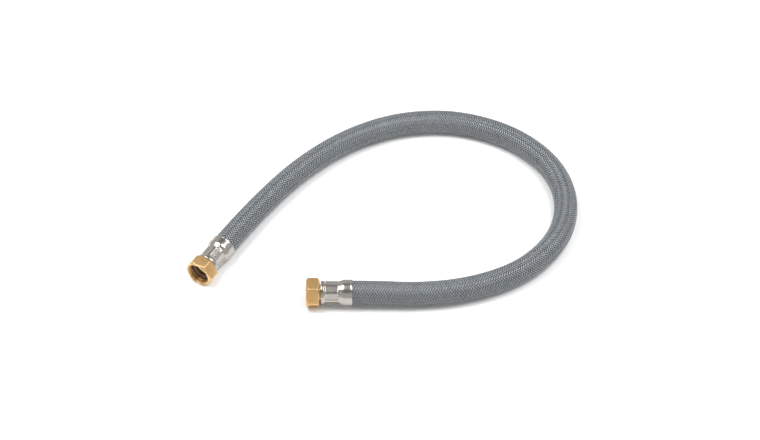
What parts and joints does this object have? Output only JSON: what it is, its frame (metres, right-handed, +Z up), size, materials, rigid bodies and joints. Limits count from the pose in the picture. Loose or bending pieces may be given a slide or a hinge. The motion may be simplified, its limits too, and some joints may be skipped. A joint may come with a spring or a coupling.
{
  "type": "braided supply line",
  "caption": "Flexible water supply hose in a braided sleeve with a crimped swivel hex nut fitting on each end.",
  "frame": {"origin": "on the surface that the line lies on, at the middle of the box around the two end fittings", "axes": "+Z up; the outlet fitting points along -X; the hose loop runs out towards +X and +Y"},
  "size_m": [0.2322, 0.1584, 0.0159],
  "materials": {
    "liner": "matt black rubber",
    "braid": "blue-grey polymer yarn braid with a soft sheen",
    "stem": "turned brass",
    "ferrule": "bright stainless sleeve, pressed",
    "washer": "matt black rubber",
    "nut": "satin brass, lightly pickled"
  },
  "bodies": {
    "root": {"hose_liner": "liner", "hose_braid": "braid", "inlet_insert": "stem", "inlet_ferrule": "ferrule", "outlet_insert": "stem", "outlet_ferrule": "ferrule"},
    "inlet_washer": {"inlet_washer": "washer"},
    "inlet_nut": {"inlet_nut": "nut"},
    "outlet_washer": {"outlet_washer": "washer"},
    "outlet_nut": {"outlet_nut": "nut"}
  },
  "joints": [
    {"name": "inlet_nut_slide", "type": "slide", "parent": "root", "child": "inlet_washer", "axis": [0.518, 0.8554, 0], "range_m": [0, 0.0005]},
    {"name": "inlet_nut_spin", "type": "hinge", "parent": "inlet_washer", "child": "inlet_nut", "pos_m": [-0.03927, 0.00133, 0.00794], "axis": [-0.518, -0.8554, 0], "continuous": true},
    {"name": "outlet_nut_slide", "type": "slide", "parent": "root", "child": "outlet_washer", "axis": [1, 0, 0], "range_m": [0, 0.0005]},
    {"name": "outlet_nut_spin", "type": "hinge", "parent": "outlet_washer", "child": "outlet_nut", "pos_m": [0.0259, -0.0159, 0.00794], "axis": [-1, 0, 0], "continuous": true}
  ]
}
